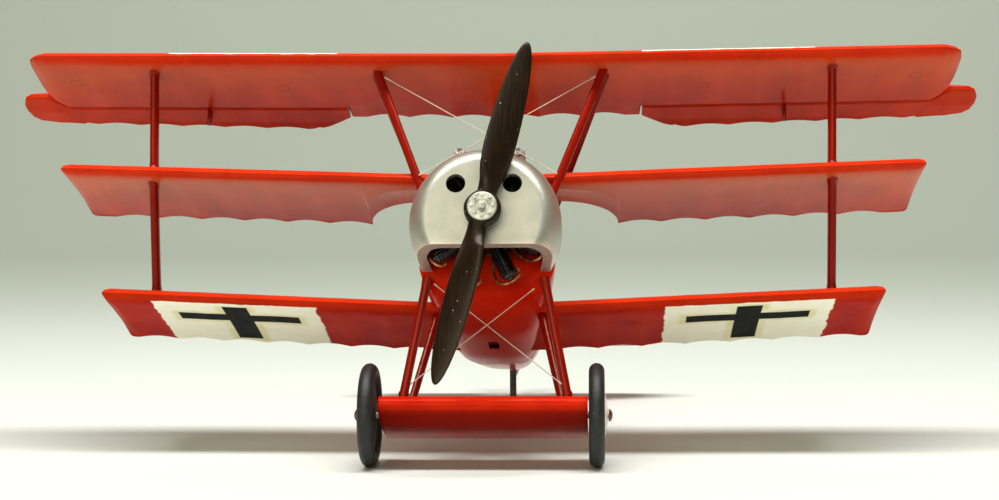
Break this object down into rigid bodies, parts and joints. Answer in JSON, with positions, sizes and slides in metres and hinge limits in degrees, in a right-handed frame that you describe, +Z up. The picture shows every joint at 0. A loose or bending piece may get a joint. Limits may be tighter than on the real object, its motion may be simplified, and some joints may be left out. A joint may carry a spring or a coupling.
{
  "type": "propeller plane model",
  "caption": "Display model of a red three-winged fighter plane with rotary engine, turning propeller and wheels, and hinged control surfaces.",
  "frame": {"origin": "middle of the footprint, on the surface that the wheels and tail skid stand on", "axes": "+X to the pilot's left wing tip, -Y towards the nose and propeller, +Z up; the model stands nose-up on its wheels and tail skid"},
  "size_m": [0.1536, 0.1246, 0.0623],
  "materials": {
    "red_wing": "brush-painted satin red over moulded plastic",
    "red_body": "brush-painted satin red over moulded plastic",
    "red_strut": "brush-painted satin red",
    "cowl_silver": "satin silver paint with a fine mottled grain",
    "propeller_wood": "dark varnished wood finish, painted on plastic, a little dusty",
    "hub_steel": "pale silver, slightly worn",
    "engine_black": "black with silver drybrushing on the fins",
    "intake_copper": "copper wire",
    "gun_metal": "dark metal grey, drybrushed",
    "rigging_thread": "thin pale thread",
    "tyre_black": "semi-matt black",
    "cover_white": "off-white satin",
    "cover_inner": "dark, shaded",
    "cap_brown": "reddish brown",
    "seat_leather": "brown leather colour",
    "bare_timber": "pale timber colour",
    "skid_timber": "dark stained timber"
  },
  "bodies": {
    "airframe": {"top_wing": "red_wing", "mid_wing": "red_wing", "lower_wing": "red_wing", "tailplane": "red_wing", "axle_wing": "red_wing", "fuselage_left_half": "red_body", "fuselage_right_half": "red_body", "firewall": "red_body", "interplane_strut_left_upper": "red_strut", "interplane_strut_left_lower": "red_strut", "interplane_strut_right_upper": "red_strut", "interplane_strut_right_lower": "red_strut", "cabane_strut_left_front": "red_strut", "cabane_strut_left_rear": "red_strut", "cabane_strut_right_front": "red_strut", "cabane_strut_right_rear": "red_strut", "undercarriage_leg_left_front": "red_strut", "undercarriage_leg_left_rear": "red_strut", "undercarriage_leg_right_front": "red_strut", "undercarriage_leg_right_rear": "red_strut", "cowling": "cowl_silver", "axle": "hub_steel", "aileron_hinge_rod_left": "hub_steel", "aileron_hinge_rod_right": "hub_steel", "elevator_hinge_rod": "hub_steel", "rudder_hinge_pin": "hub_steel", "gun_left": "gun_metal", "gun_right": "gun_metal", "control_stick": "gun_metal", "cabane_wire_left": "rigging_thread", "cabane_wire_right": "rigging_thread", "undercarriage_wire_left": "rigging_thread", "undercarriage_wire_right": "rigging_thread", "axle_cap_left": "cap_brown", "axle_cap_right": "cap_brown", "pilot_seat": "seat_leather", "cockpit_coaming": "seat_leather", "cockpit_floor": "bare_timber", "instrument_panel": "bare_timber", "tail_skid": "skid_timber"},
    "rotor": {"propeller": "propeller_wood", "propeller_hub_plate": "hub_steel", "propeller_shaft": "hub_steel", "engine_cylinder_bank": "engine_black", "engine_intake_pipes": "intake_copper", "engine_pushrod_star": "hub_steel"},
    "wheel_left": {"tyre_left": "tyre_black", "wheel_cover_outer_left": "cover_white", "wheel_cover_inner_left": "cover_inner"},
    "wheel_right": {"tyre_right": "tyre_black", "wheel_cover_outer_right": "cover_white", "wheel_cover_inner_right": "cover_inner"},
    "aileron_left": {"aileron_left": "red_wing", "aileron_lever_left": "red_wing"},
    "aileron_right": {"aileron_right": "red_wing", "aileron_lever_right": "red_wing"},
    "elevator": {"elevator": "red_wing"},
    "rudder": {"rudder": "red_wing"}
  },
  "joints": [
    {"name": "propeller_spin", "type": "hinge", "parent": "airframe", "child": "rotor", "pos_m": [0, -0.05179, 0.03698], "axis": [0, 0.9489, -0.3156], "continuous": true},
    {"name": "wheel_left_spin", "type": "hinge", "parent": "airframe", "child": "wheel_left", "pos_m": [0.0162, -0.04902, 0.0076], "axis": [1, 0, 0], "continuous": true},
    {"name": "wheel_right_spin", "type": "hinge", "parent": "airframe", "child": "wheel_right", "pos_m": [-0.017, -0.04902, 0.0076], "axis": [1, 0, 0], "continuous": true},
    {"name": "aileron_left_tilt", "type": "hinge", "parent": "airframe", "child": "aileron_left", "pos_m": [0.04, -0.01914, 0.05459], "axis": [0.9999, 0.0036, 0.0109], "range_deg": [-15, 15]},
    {"name": "aileron_right_tilt", "type": "hinge", "parent": "airframe", "child": "aileron_right", "pos_m": [-0.04, -0.01914, 0.05459], "axis": [0.9999, -0.0036, -0.0109], "range_deg": [-15, 15]},
    {"name": "elevator_tilt", "type": "hinge", "parent": "airframe", "child": "elevator", "pos_m": [0, 0.04825, 0.01234], "axis": [1, 0, 0], "range_deg": [-15, 15]},
    {"name": "rudder_swing", "type": "hinge", "parent": "airframe", "child": "rudder", "pos_m": [0, 0.05457, 0.01076], "axis": [0, 0.3156, 0.9489], "range_deg": [-22, 22]}
  ]
}
